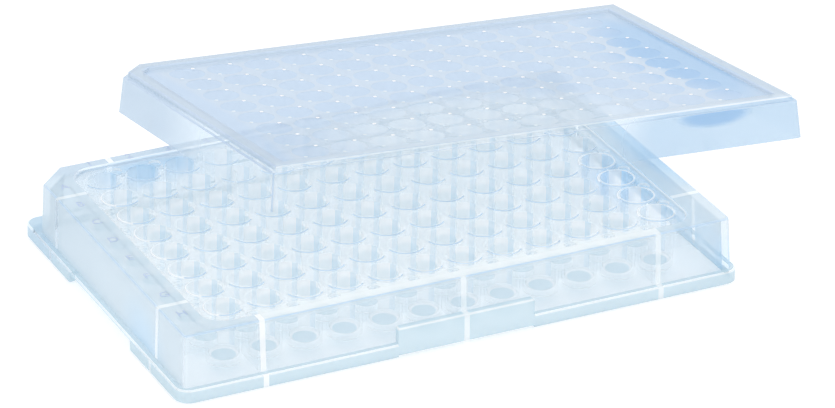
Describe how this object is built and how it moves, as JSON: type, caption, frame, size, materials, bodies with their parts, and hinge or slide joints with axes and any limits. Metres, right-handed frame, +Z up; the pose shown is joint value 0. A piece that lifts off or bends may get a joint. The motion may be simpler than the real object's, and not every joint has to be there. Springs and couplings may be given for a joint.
{
  "type": "well plate with lid",
  "caption": "Clear plastic well plate: open round wells in a skirted rectangular frame with a cut corner, and its shallow lid lying askew, leaning on the plate's back edge.",
  "frame": {"origin": "middle of the footprint of plate and lid together, on the surface that the plate stands on", "axes": "+X along the plate's long side, from column 1 to column 12; +Y from row H to row A; +Z up"},
  "size_m": [0.1608, 0.1168, 0.0305],
  "materials": {
    "plate_polystyrene": "clear moulded polystyrene, glossy",
    "lid_polystyrene": "clear moulded polystyrene, glossy"
  },
  "bodies": {
    "root": {"plate": "plate_polystyrene", "lid": "lid_polystyrene"}
  },
  "joints": []
}
